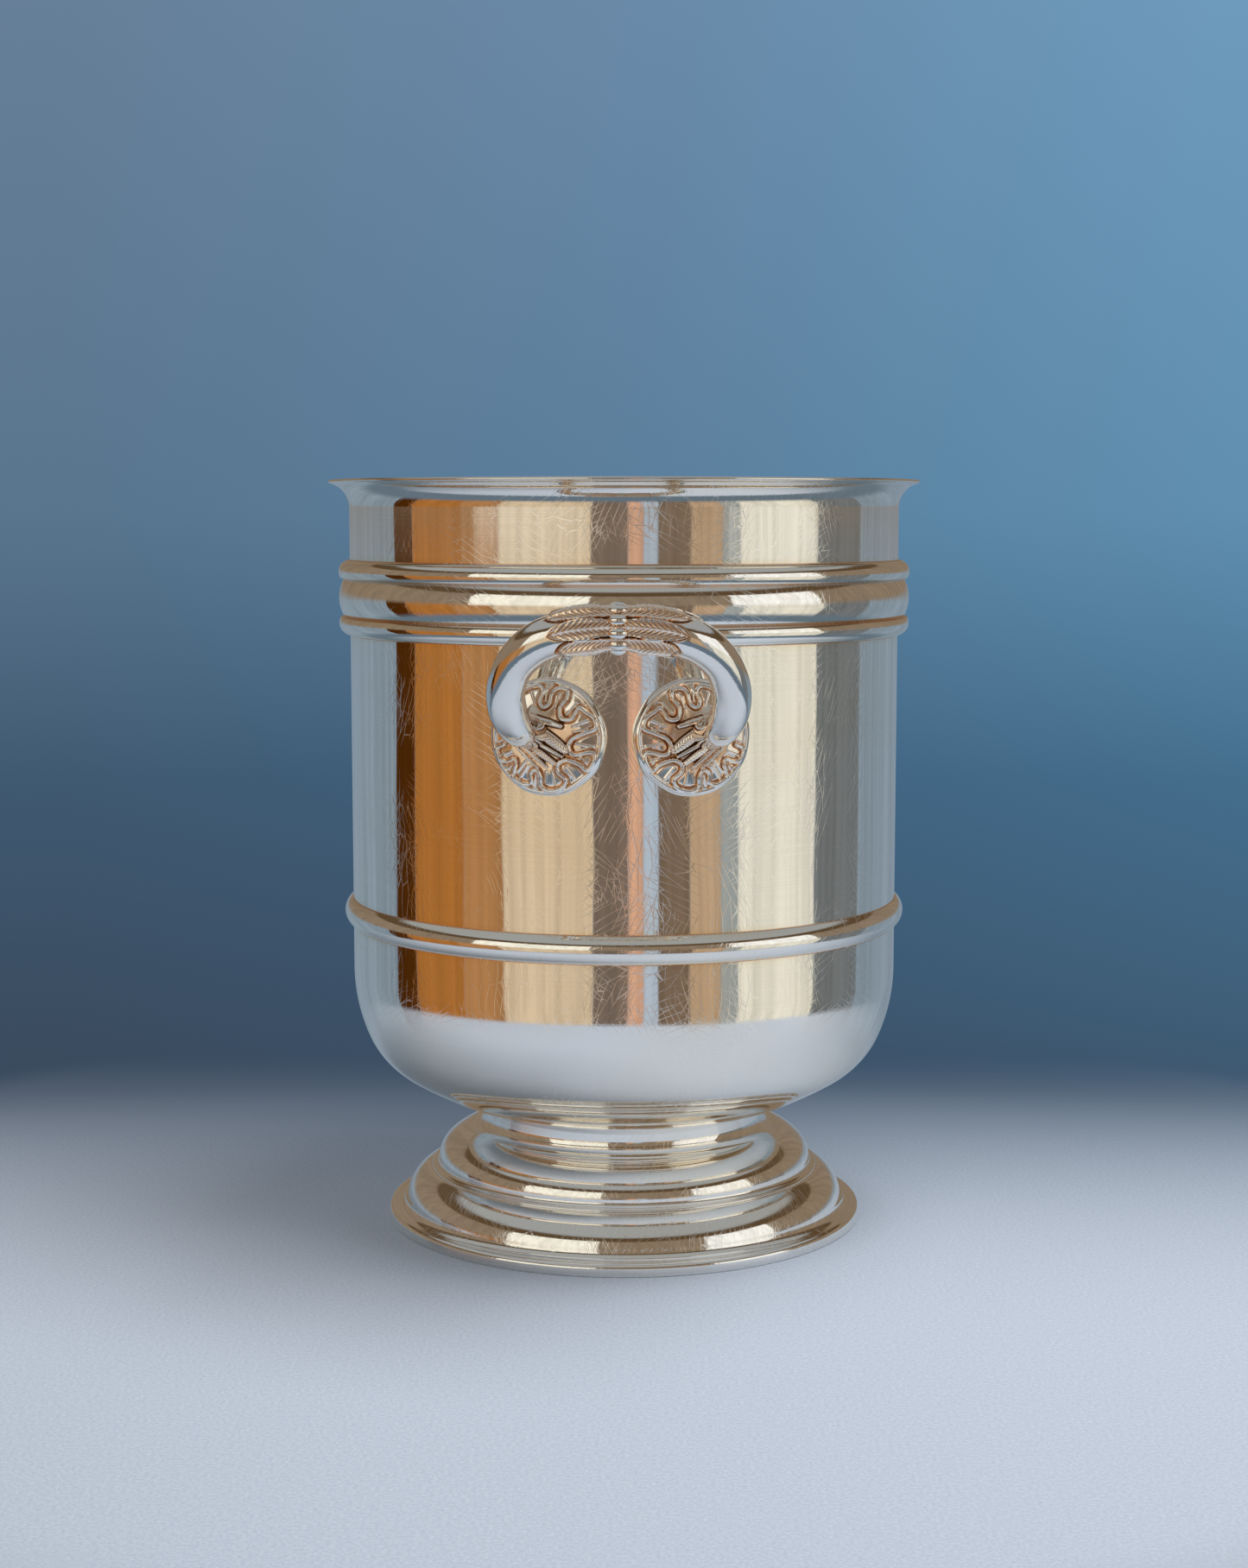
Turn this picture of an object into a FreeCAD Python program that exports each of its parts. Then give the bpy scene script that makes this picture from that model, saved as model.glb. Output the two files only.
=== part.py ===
import FreeCAD, Part
import math
import os
import re
import Sketcher

# A two-handled champagne bucket in silver-plated sheet.  Millimetres and degrees, +Z up, origin
# at the middle of the foot where it stands on the table.  The handles are at -Y and +Y.

DIMENSIONS = {
    # spun body: a true cylinder, a flared lip and a bowl of three tangent curves
    "body_radius": 90.0,
    "body_metal": 1.1,
    "flare_height": 236.2,
    "flare_curve": 8.0,
    "flare_turn": 78.0,
    "lip_edge_curve": 0.66,
    "bowl_height": 84.9,
    "bowl_upper_curve": 55.9,
    "bowl_upper_turn": 23.7,
    "bowl_lower_curve": 28.2,
    "bowl_lower_turn": 59.2,
    # mouldings soldered round the body
    "reed_radius": 92.4,
    "reed_curve": 3.8,
    "upper_reed_top": 219.3,
    "band_top": 213.4,
    "band_bottom": 200.8,
    "lower_reed_bottom": 195.0,
    "band_edge_radius": 91.9,
    "band_curve": 12.6,
    "wire_top": 108.6,
    "wire_bottom": 99.6,
    "wire_curve": 5.1,
    # stepped foot: a domed upper stage, a shouldered lower stage and the wire it stands on
    "foot_metal": 1.0,
    "neck_radius": 46.0,
    "dome_radius": 62.3,
    "dome_height": 19.0,
    "dome_side_curve": 8.5,
    "dome_side_turn": 48.0,
    "dome_top_curve": 17.5,
    "dome_top_turn": 82.0,
    "ridge_flare_curve": 1.6,
    "ridge_radius": 64.8,
    "ridge_edge_curve": 0.52,
    "landing_height": 16.45,
    "landing_inner_radius": 60.0,
    "shoulder_middle": 61.2,
    "shoulder_height": 5.0,
    "shoulder_curve": 12.0,
    "cove_radius": 76.3,
    "cove_height": 3.7,
    "rim_radius": 79.25,
    "rim_band_height": 2.5,
    "rim_bead_curve": 1.75,
    # cast handles and the rosettes that they spring from
    "bar_diameter": 14.6,
    "arm_diameter": 11.4,
    "tip_diameter": 8.8,
    "bead_ring_width": 5.0,
    "bead_ring_radius": 7.7,
    "bead_ring_overlap": 0.6,
    "rosette_radius": 18.1,
    "rosette_crown": 93.5,
    "rosette_dome": 58.0,
    "rosette_height": 168.2,
    "rosette_azimuth": 13.8,
}

HANDLE_SIDES = {"front": 0.0, "back": 180.0}
Z_AXIS = FreeCAD.Vector(0, 0, 1)

# Middle line of the left half of a handle, from the bar's middle to the arm's tip on the rosette:
# across from the middle plane, out from the body's axis, height, and how much of the bar's,
# the arm's and the tip's diameter the casting has there.
HANDLE_LINE = [
    (0.0, 120.0, 202.0, 1.0, 0.0, 0.0),
    (8.0, 119.8, 201.7, 1.0, 0.0, 0.0),
    (16.5, 118.9, 200.3, 0.75, 0.25, 0.0),
    (24.0, 116.6, 197.0, 0.25, 0.75, 0.0),
    (29.8, 113.1, 191.2, 0.0, 1.0, 0.0),
    (32.6, 108.7, 183.8, 0.0, 1.0, 0.0),
    (32.2, 103.9, 176.6, 0.0, 1.0, 0.0),
    (29.9, 99.0, 171.7, 0.0, 0.6, 0.4),
    (27.4, 93.8, 169.9, 0.0, 0.15, 0.85),
    (26.2, 88.6, 169.6, 0.0, 0.0, 1.0),
]

doc = FreeCAD.newDocument("champagne_bucket")
sheet = doc.addObject("Spreadsheet::Sheet", "Sizes")
for row, (alias, value) in enumerate(DIMENSIONS.items(), start=1):
    sheet.set(f"A{row}", alias)
    sheet.set(f"B{row}", str(value))
    sheet.setAlias(f"B{row}", alias)
doc.recompute()


def bound(formula):
    """The formula with each dimension's name pointing at its cell of the sheet."""

    def cell(match):
        word = match[0]
        return f"Sizes.{word}" if word in DIMENSIONS else word

    return re.sub(r"[a-z_]+", cell, formula)


def value_of(formula):
    value = sheet.evalExpression(bound(formula))
    return float(getattr(value, "Value", value))


# ---------------------------------------------------------------- turned pieces


def arc_between(start, end, radius, side):
    """Anticlockwise sketch arc between two corners, and which of its ends is at the start."""
    chord = end - start
    half = chord.Length / 2
    left = FreeCAD.Vector(-chord.y, chord.x, 0).normalize()
    centre = (start + end) / 2 + left * side * math.sqrt(radius**2 - half**2)
    angles = [math.atan2(corner.y - centre.y, corner.x - centre.x) for corner in (start, end)]
    if side < 0:
        angles.reverse()
    arc = Part.ArcOfCircle(Part.Circle(centre, Z_AXIS, radius), *angles)
    return arc, (1, 2) if side > 0 else (2, 1)


def bind(sketch, constraint, formula):
    sketch.setExpression(f"Constraints[{sketch.addConstraint(constraint)}]", bound(formula))


def turned(label, outline, placement=FreeCAD.Placement()):
    """Body turned about Z from a closed outline of (radius, height, edge to the next corner).

    An edge is None for a straight line, or (radius of the arc, side of the edge its centre is on).
    """
    body = doc.addObject("PartDesign::Body", label)
    sketch = body.newObject("Sketcher::SketchObject", f"{label}_outline")
    plane = [item for item in body.Origin.OriginFeatures if item.Role == "XZ_Plane"][0]
    sketch.AttachmentSupport = (plane, [""])
    sketch.MapMode = "FlatFace"

    corners = [FreeCAD.Vector(value_of(radius), value_of(height), 0) for radius, height, _ in outline]
    ends = []
    for index, (_, _, edge) in enumerate(outline):
        start, end = corners[index], corners[(index + 1) % len(corners)]
        if edge is None:
            geometry, order = Part.LineSegment(start, end), (1, 2)
        else:
            geometry, order = arc_between(start, end, value_of(edge[0]), edge[1])
        ends.append((sketch.addGeometry(geometry), *order))
        if edge is not None:
            bind(sketch, Sketcher.Constraint("Radius", ends[-1][0], value_of(edge[0])), edge[0])
    for index, (radius, height, _) in enumerate(outline):
        before, _, last = ends[index - 1]
        line, first, _ = ends[index]
        corner = corners[index]
        sketch.addConstraint(Sketcher.Constraint("Coincident", before, last, line, first))
        if abs(corner.x) < 1e-9:
            sketch.addConstraint(Sketcher.Constraint("PointOnObject", line, first, -2))
        else:
            bind(sketch, Sketcher.Constraint("DistanceX", -1, 1, line, first, corner.x), radius)
        if abs(corner.y) < 1e-9:
            sketch.addConstraint(Sketcher.Constraint("PointOnObject", line, first, -1))
        else:
            bind(sketch, Sketcher.Constraint("DistanceY", -1, 1, line, first, corner.y), height)

    revolution = body.newObject("PartDesign::Revolution", f"{label}_turned")
    revolution.Profile = sketch
    revolution.ReferenceAxis = (sketch, ["V_Axis"])
    revolution.Angle = 360
    body.Tip = revolution
    body.Placement = placement
    return body


def body_side(inset):
    """Corners of the body from the bottom's middle up to the lip, inset from the outer face."""
    upper_r = f"(body_radius - {inset} - (bowl_upper_curve - {inset}) * (1 - cos(bowl_upper_turn)))"
    upper_z = f"(bowl_height - (bowl_upper_curve - {inset}) * sin(bowl_upper_turn))"
    lower = f"(bowl_lower_curve - {inset})"
    lower_r = f"({upper_r} - {lower} * (cos(bowl_upper_turn) - cos(bowl_lower_turn)))"
    lower_z = f"({upper_z} - {lower} * (sin(bowl_lower_turn) - sin(bowl_upper_turn)))"
    bottom_curve = f"({lower_r} / cos(bowl_lower_turn))"
    bottom_z = f"({lower_z} - {bottom_curve} * (1 - sin(bowl_lower_turn)))"
    flare = f"(flare_curve + {inset})"
    lip_r = f"(body_radius + flare_curve - {flare} * cos(flare_turn))"
    lip_z = f"(flare_height + {flare} * sin(flare_turn))"
    return {
        "bottom": ("0", bottom_z),
        "bottom_curve": bottom_curve,
        "lower": (lower_r, lower_z),
        "lower_curve": lower,
        "upper": (upper_r, upper_z),
        "upper_curve": f"(bowl_upper_curve - {inset})",
        "cylinder": (f"(body_radius - {inset})", "bowl_height"),
        "flare": (f"(body_radius - {inset})", "flare_height"),
        "flare_curve": flare,
        "lip": (lip_r, lip_z),
    }


outside = body_side("0")
inside = body_side("body_metal")
parts = [
    turned(
        "body_shell",
        [
            (*outside["bottom"], (outside["bottom_curve"], 1)),
            (*outside["lower"], (outside["lower_curve"], 1)),
            (*outside["upper"], (outside["upper_curve"], 1)),
            (*outside["cylinder"], None),
            (*outside["flare"], (outside["flare_curve"], -1)),
            (*outside["lip"], ("lip_edge_curve", 1)),
            (*inside["lip"], (inside["flare_curve"], 1)),
            (*inside["flare"], None),
            (*inside["cylinder"], (inside["upper_curve"], -1)),
            (*inside["upper"], (inside["lower_curve"], -1)),
            (*inside["lower"], (inside["bottom_curve"], -1)),
            (*inside["bottom"], None),
        ],
    ),
    turned(
        "upper_reed",
        [
            ("body_radius", "band_top", None),
            ("reed_radius", "band_top", ("reed_curve", 1)),
            ("body_radius", "upper_reed_top", None),
        ],
    ),
    turned(
        "wide_band",
        [
            ("body_radius", "band_bottom", None),
            ("band_edge_radius", "band_bottom", ("band_curve", 1)),
            ("band_edge_radius", "band_top", None),
            ("body_radius", "band_top", None),
        ],
    ),
    turned(
        "lower_reed",
        [
            ("body_radius", "lower_reed_bottom", ("reed_curve", 1)),
            ("reed_radius", "band_bottom", None),
            ("body_radius", "band_bottom", None),
        ],
    ),
    turned(
        "lower_wire",
        [
            ("body_radius", "wire_bottom", ("wire_curve", 1)),
            ("body_radius", "wire_top", None),
        ],
    ),
]


def dome_side(inset):
    """Corners of the foot's upper stage from the ridge up to the neck, inset from the outer face."""
    side = f"(dome_side_curve - {inset})"
    top = f"(dome_top_curve - {inset})"
    side_r = f"(dome_radius - {inset} - {side} * (1 - cos(dome_side_turn)))"
    side_z = f"(dome_height + {side} * sin(dome_side_turn))"
    top_r = f"({side_r} - {top} * (cos(dome_side_turn) - cos(dome_top_turn)))"
    top_z = f"({side_z} + {top} * (sin(dome_top_turn) - sin(dome_side_turn)))"
    neck_r = f"(neck_radius - {inset})"
    neck_curve = f"(({top_r} - {neck_r}) / (1 - cos(dome_top_turn)))"
    centre_z = f"({outside['bottom'][1]} + {outside['bottom_curve']})"
    flare = f"(ridge_flare_curve + {inset})"
    return {
        "flare": ("(dome_radius + ridge_flare_curve)", f"(dome_height - {flare})"),
        "flare_curve": flare,
        "wall": (f"(dome_radius - {inset})", "dome_height"),
        "side_curve": side,
        "side": (side_r, side_z),
        "top_curve": top,
        "top": (top_r, top_z),
        "neck_curve": neck_curve,
        "neck": (neck_r, f"({top_z} + {neck_curve} * sin(dome_top_turn))"),
        "seat": (neck_r, f"({centre_z} - sqrt({outside['bottom_curve']}^2 - {neck_r}^2))"),
    }


dome = dome_side("0")
lining = dome_side("foot_metal")
ridge_inner = "(ridge_radius - foot_metal / 2)"
parts.append(
    turned(
        "foot_dome",
        [
            (*lining["flare"], None),
            (ridge_inner, lining["flare"][1], ("ridge_edge_curve", 1)),
            (ridge_inner, dome["flare"][1], None),
            (*dome["flare"], (dome["flare_curve"], -1)),
            (*dome["wall"], (dome["side_curve"], 1)),
            (*dome["side"], (dome["top_curve"], 1)),
            (*dome["top"], (dome["neck_curve"], -1)),
            (*dome["neck"], None),
            (*dome["seat"], None),
            (*lining["seat"], None),
            (*lining["neck"], (lining["neck_curve"], 1)),
            (*lining["top"], (lining["top_curve"], -1)),
            (*lining["side"], (lining["side_curve"], -1)),
            (*lining["wall"], (lining["flare_curve"], 1)),
        ],
    )
)


# The cove is tangent to the shoulder and ends level at the rim wire.
cove_curve = (
    "(((cove_radius - shoulder_middle)^2 + (shoulder_height - cove_height)^2 - shoulder_curve^2)"
    " / (2 * (shoulder_curve + shoulder_height - cove_height)))"
)
cove_cos = f"((cove_radius - shoulder_middle) / (shoulder_curve + {cove_curve}))"
cove_sin = f"(({cove_curve} - shoulder_height + cove_height) / (shoulder_curve + {cove_curve}))"


def shoulder_side(inset):
    """Corners of the foot's lower stage from the landing down to the rim, inset from the outer face."""
    curve = f"(shoulder_curve - {inset})"
    landing = f"(landing_height - {inset})"
    return {
        "inner": ("landing_inner_radius", landing),
        "landing": (f"(shoulder_middle + sqrt({curve}^2 - ({landing} - shoulder_height)^2))", landing),
        "curve": curve,
        "cove": (f"(shoulder_middle + {curve} * {cove_cos})", f"(shoulder_height + {curve} * {cove_sin})"),
        "cove_curve": f"({cove_curve} + {inset})",
        "end": ("cove_radius", f"(cove_height - {inset})"),
    }


shoulder = shoulder_side("0")
under = shoulder_side("foot_metal")
parts += [
    turned(
        "foot_base",
        [
            (*under["inner"], None),
            (*under["landing"], (under["curve"], -1)),
            (*under["cove"], (under["cove_curve"], 1)),
            (*under["end"], None),
            (*shoulder["end"], (shoulder["cove_curve"], -1)),
            (*shoulder["cove"], (shoulder["curve"], 1)),
            (*shoulder["landing"], None),
            (*shoulder["inner"], None),
        ],
    ),
    turned(
        "foot_rim_wire",
        [
            ("cove_radius", "0", None),
            ("rim_radius", "0", None),
            ("rim_radius", "rim_band_height", ("rim_bead_curve", 1)),
            ("cove_radius", "cove_height", None),
        ],
    ),
]


# ---------------------------------------------------------------- handles and rosettes


def about_z(degrees):
    return FreeCAD.Placement(FreeCAD.Vector(), FreeCAD.Rotation(Z_AXIS, degrees))


def handle_stations():
    """Points of the whole middle line with the three shares of thickness, left tip to right tip."""
    left = [(FreeCAD.Vector(-across, -out, height), shares) for across, out, height, *shares in HANDLE_LINE]
    right = [(FreeCAD.Vector(-point.x, point.y, point.z), shares) for point, shares in left[1:]]
    return left[::-1] + right


def handle(label, turn):
    stations = handle_stations()
    middle_line = Part.BSplineCurve()
    middle_line.interpolate([point for point, _ in stations])
    sections = []
    for number, (point, (bar, arm, tip)) in enumerate(stations):
        direction = FreeCAD.Vector(*middle_line.tangent(middle_line.parameter(point))[0])
        circle = doc.addObject("Part::Circle", f"{label}_section_{number}")
        circle.setExpression(
            "Radius", bound(f"(bar_diameter * {bar} + arm_diameter * {arm} + tip_diameter * {tip}) / 2")
        )
        circle.Placement = FreeCAD.Placement(point, FreeCAD.Rotation(Z_AXIS, direction))
        sections.append(circle)
    casting = doc.addObject("Part::Loft", label)
    casting.Sections = sections
    casting.Solid = True
    casting.Placement = about_z(turn)
    return casting


def bead_ring(label, turn):
    """Ring of beads round the middle of the bar, with the bar's own radius as its bore."""
    _, out, height, *_ = HANDLE_LINE[0]
    half_width = "(bead_ring_width / 2)"
    bore = "(bar_diameter / 2 - bead_ring_overlap)"
    rise = f"(bead_ring_radius - {bore})"
    curve = f"(({half_width}^2 + {rise}^2) / (2 * {rise}))"
    lying = FreeCAD.Placement(FreeCAD.Vector(0, -out, height), FreeCAD.Rotation(FreeCAD.Vector(0, 1, 0), 90))
    return turned(
        label,
        [
            (bore, f"-{half_width}", (curve, 1)),
            (bore, half_width, None),
        ],
        about_z(turn) * lying,
    )


def rosette(label, turn):
    """Round boss with a domed face whose back fits the body."""
    disc = doc.addObject("Part::Cylinder", f"{label}_disc")
    disc.setExpression("Radius", bound("rosette_radius"))
    disc.setExpression("Height", bound("rosette_crown"))
    disc.setExpression("Placement.Base.z", bound("rosette_height"))
    disc.Placement.Rotation = FreeCAD.Rotation(FreeCAD.Vector(1, 0, 0), 90)
    ball = doc.addObject("Part::Sphere", f"{label}_face")
    ball.setExpression("Radius", bound("rosette_dome"))
    ball.setExpression("Placement.Base.y", bound("rosette_dome - rosette_crown"))
    ball.setExpression("Placement.Base.z", bound("rosette_height"))
    boss = doc.addObject("Part::Common", f"{label}_boss")
    boss.Base, boss.Tool = disc, ball
    wall = doc.addObject("Part::Cylinder", f"{label}_back")
    wall.setExpression("Radius", bound("body_radius"))
    wall.setExpression("Height", bound("flare_height"))
    seated = doc.addObject("Part::Cut", label)
    seated.Base, seated.Tool = boss, wall
    seated.Placement = about_z(turn)
    return seated


for side, turn in HANDLE_SIDES.items():
    parts.append(handle(f"handle_{side}", turn))
    parts.append(bead_ring(f"bead_ring_{side}", turn))
    for hand, sign in (("left", -1), ("right", 1)):
        parts.append(rosette(f"rosette_{side}_{hand}", turn + sign * DIMENSIONS["rosette_azimuth"]))

doc.recompute()

for item in doc.Objects:
    if {"Invalid", "Error"} & set(item.State):
        raise RuntimeError(f"{item.Label} failed: {item.State}")
os.makedirs("parts", exist_ok=True)
for part in parts:
    shape = part.Shape
    if shape.isNull() or not shape.isValid() or shape.Volume <= 0:
        raise RuntimeError(f"{part.Label} has no valid solid")
    shape.exportStep(f"parts/{part.Label}.step")
    box = shape.BoundBox
    volume = shape.Volume / 1000
    print(f"{part.Label}: {len(shape.Solids)} solid, {volume:.2f} cm3, z {box.ZMin:.2f} to {box.ZMax:.2f}")
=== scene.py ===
import math

import bpy
from mathutils import Matrix, Vector, kdtree


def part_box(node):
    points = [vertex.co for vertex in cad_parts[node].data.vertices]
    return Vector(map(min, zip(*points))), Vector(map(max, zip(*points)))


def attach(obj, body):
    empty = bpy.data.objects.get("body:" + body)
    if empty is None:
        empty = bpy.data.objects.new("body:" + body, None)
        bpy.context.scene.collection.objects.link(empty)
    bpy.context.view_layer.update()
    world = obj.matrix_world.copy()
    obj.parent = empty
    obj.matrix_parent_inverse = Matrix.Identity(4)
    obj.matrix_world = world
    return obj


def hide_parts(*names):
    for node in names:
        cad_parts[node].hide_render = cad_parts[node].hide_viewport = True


# A two-handled champagne bucket in silver plate, over its CAD frame.  +Z is up and the handles are
# at -Y and +Y.  Outlines and sizes are written in millimetres, and MM turns them to metres.

MM = 0.001
ROUND = 256

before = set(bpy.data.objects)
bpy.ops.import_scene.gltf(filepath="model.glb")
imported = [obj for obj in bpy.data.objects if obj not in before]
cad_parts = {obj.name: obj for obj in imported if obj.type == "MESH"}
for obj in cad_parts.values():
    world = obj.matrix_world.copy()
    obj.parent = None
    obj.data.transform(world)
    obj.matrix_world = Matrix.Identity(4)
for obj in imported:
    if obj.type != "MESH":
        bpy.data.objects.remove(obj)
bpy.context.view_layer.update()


# ---------------------------------------------------------------- the bench: making pieces


def mode(name):
    bpy.ops.object.mode_set(mode=name)


def begin(name, material):
    """Names the primitive that was just added and gives it its material."""
    piece = bpy.context.object
    piece.name = name
    piece.data.name = name
    piece.data.materials.append(material)
    return piece


def smooth(value, low, high):
    """Smooth step from 0 to 1 as value goes from low to high."""
    share = min(max((value - low) / (high - low), 0.0), 1.0)
    return share * share * (3 - 2 * share)


def tidy_surface(angle=40.0):
    """Merges seams and poles, turns the faces outward and smooths all but the sharp edges."""
    mode("EDIT")
    bpy.ops.mesh.select_all(action="SELECT")
    bpy.ops.mesh.remove_doubles(threshold=5e-7)
    bpy.ops.mesh.normals_make_consistent(inside=False)
    mode("OBJECT")
    bpy.ops.object.shade_smooth_by_angle(angle=math.radians(angle))


def arc(start, end, radius, side, step=4.0):
    """Corners of an arc after its start; side is 1 if its centre is to the left of the way."""
    (r0, z0), (r1, z1) = start, end
    chord = math.hypot(r1 - r0, z1 - z0)
    apothem = math.sqrt(max(radius**2 - chord**2 / 4, 0))
    left = (-(z1 - z0) / chord, (r1 - r0) / chord)
    middle = ((r0 + r1) / 2 + left[0] * side * apothem, (z0 + z1) / 2 + left[1] * side * apothem)
    first = math.atan2(z0 - middle[1], r0 - middle[0])
    turn = 2 * math.asin(min(chord / 2 / radius, 1)) * side
    count = max(2, math.ceil(abs(math.degrees(turn)) / step))
    corners = []
    for index in range(1, count + 1):
        angle = first + turn * index / count
        corners.append((middle[0] + radius * math.cos(angle), middle[1] + radius * math.sin(angle)))
    return corners


def outline(*edges):
    """Closed outline in millimetres from (radius, height, edge to the next corner).

    An edge is None for a straight line, or (radius of the arc, side, degrees a step).
    """
    corners = []
    for index, (radius, height, edge) in enumerate(edges):
        after = edges[(index + 1) % len(edges)][:2]
        if not corners:
            corners.append((radius, height))
        corners += [after] if edge is None else arc((radius, height), after, *edge)
    return corners


def turned(name, corners, material, node):
    """Piece spun about Z from a closed outline in millimetres; it stands for a CAD node."""
    bpy.ops.object.select_all(action="DESELECT")
    bpy.ops.mesh.primitive_plane_add(size=MM)
    piece = begin(name, material)
    mode("EDIT")
    bpy.ops.mesh.merge(type="CENTER")
    bpy.ops.transform.translate(value=(corners[0][0] * MM, 0, corners[0][1] * MM))
    for (r0, z0), (r1, z1) in zip(corners, corners[1:]):
        step = {"value": ((r1 - r0) * MM, 0, (z1 - z0) * MM)}
        bpy.ops.mesh.extrude_vertices_move(TRANSFORM_OT_translate=step)
    bpy.ops.mesh.select_all(action="SELECT")
    bpy.ops.mesh.spin(steps=ROUND, angle=math.tau, center=(0, 0, 0), axis=(0, 0, 1))
    mode("OBJECT")
    tidy_surface(30)
    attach(piece, "root")
    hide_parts(node)
    return piece


# ---------------------------------------------------------------- finishes


def paint(red, green, blue):
    """Linear colour of a paint chip numbered from 0 to 255."""
    return tuple((part / 255) ** 2.2 for part in (red, green, blue)) + (1.0,)


class Value:
    """A socket that takes part in arithmetic."""

    def __init__(self, finish, socket):
        self.finish = finish
        self.socket = socket

    def __add__(self, other):
        return self.finish.maths("ADD", self, other)

    __radd__ = __add__

    def __sub__(self, other):
        return self.finish.maths("SUBTRACT", self, other)

    def __rsub__(self, other):
        return self.finish.maths("SUBTRACT", other, self)

    def __mul__(self, other):
        return self.finish.maths("MULTIPLY", self, other)

    __rmul__ = __mul__

    def __truediv__(self, other):
        return self.finish.maths("DIVIDE", self, other)

    def __rtruediv__(self, other):
        return self.finish.maths("DIVIDE", other, self)


class Finish:
    """The nodes of a material or of the world."""

    def __init__(self, owner):
        owner.use_nodes = True
        self.nodes = owner.node_tree.nodes
        self.links = owner.node_tree.links
        self.nodes.clear()

    def node(self, kind, settings=None, inputs=None, output=0):
        made = self.nodes.new(kind)
        for name, setting in (settings or {}).items():
            if name == "stops":
                self.fill_ramp(made.color_ramp, setting)
            else:
                setattr(made, name, setting)
        for name, given in (inputs or {}).items():
            if isinstance(given, Value):
                self.links.new(given.socket, made.inputs[name])
            else:
                made.inputs[name].default_value = given
        return Value(self, made.outputs[output])

    def fill_ramp(self, ramp, stops):
        while len(ramp.elements) > 1:
            ramp.elements.remove(ramp.elements[-1])
        ramp.elements[0].position = stops[0][0]
        ramp.elements[0].color = stops[0][1]
        for place, colour in stops[1:]:
            ramp.elements.new(place).color = colour

    def maths(self, operation, *values):
        return self.node("ShaderNodeMath", {"operation": operation}, dict(enumerate(values)))

    def step(self, value, low, high, first=0.0, last=1.0):
        """Smooth step from first to last as value goes from low to high."""
        inputs = {0: value, 1: low, 2: high, 3: first, 4: last}
        return self.node("ShaderNodeMapRange", {"interpolation_type": "SMOOTHSTEP"}, inputs)

    def blend(self, share, first, second, how="MIX"):
        settings = {"data_type": "RGBA", "blend_type": how}
        return self.node("ShaderNodeMix", settings, {0: share, 6: first, 7: second}, 2)

    def ramp(self, value, stops):
        return self.node("ShaderNodeValToRGB", {"stops": stops}, {0: value})

    def noise(self, place, scale, detail=2.0, roughness=0.5):
        inputs = {"Vector": place, "Scale": scale, "Detail": detail, "Roughness": roughness}
        return self.node("ShaderNodeTexNoise", None, inputs)

    def combine(self, x, y, z):
        return self.node("ShaderNodeCombineXYZ", None, {0: x, 1: y, 2: z})

    def parts(self, vector):
        return [self.node("ShaderNodeSeparateXYZ", None, {0: vector}, part) for part in range(3)]


def material(name):
    made = bpy.data.materials.new(name)
    return made, Finish(made)


def finished(finish, shader):
    end = finish.nodes.new("ShaderNodeOutputMaterial")
    finish.links.new(shader.socket, end.inputs["Surface"])


def hairlines(finish, across, along, heading, length, width, phase):
    """Thin curved scratches that lie about one heading, as a 0 to 1 mask."""
    cos, sin = math.cos(math.radians(heading)), math.sin(math.radians(heading))
    run = across * (cos / length) + along * (sin / length)
    cut = along * (cos / width) - across * (sin / width)
    bend = finish.noise(finish.combine(run * 0.8, cut * 0.1, phase), 1.0, 1.0) * 1.4
    settings = {"feature": "DISTANCE_TO_EDGE", "voronoi_dimensions": "2D"}
    inputs = {"Vector": finish.combine(run, cut + bend, 0.0), "Scale": 1.0}
    line = 1.0 - finish.step(finish.node("ShaderNodeTexVoronoi", settings, inputs), 0.0, 0.036)
    patches = finish.noise(finish.combine(across, along, phase + 3.7), 34.0, 3.0, 0.6)
    return line * finish.step(patches, 0.48, 0.64)


# Hairline scratches: heading in degrees, then length, spacing and phase, in metres.
SCRATCHES = (
    (64, 0.017, 0.0021, 1.1),
    (116, 0.015, 0.0019, 5.3),
    (28, 0.020, 0.0024, 8.9),
    (150, 0.016, 0.0022, 12.4),
    (88, 0.013, 0.0026, 16.2),
)
# Heights, in millimetres, where mouldings meet and the plate has worn through to copper.
CREASES = (219.3, 213.4, 200.8, 195.0, 108.6, 99.6)


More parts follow.
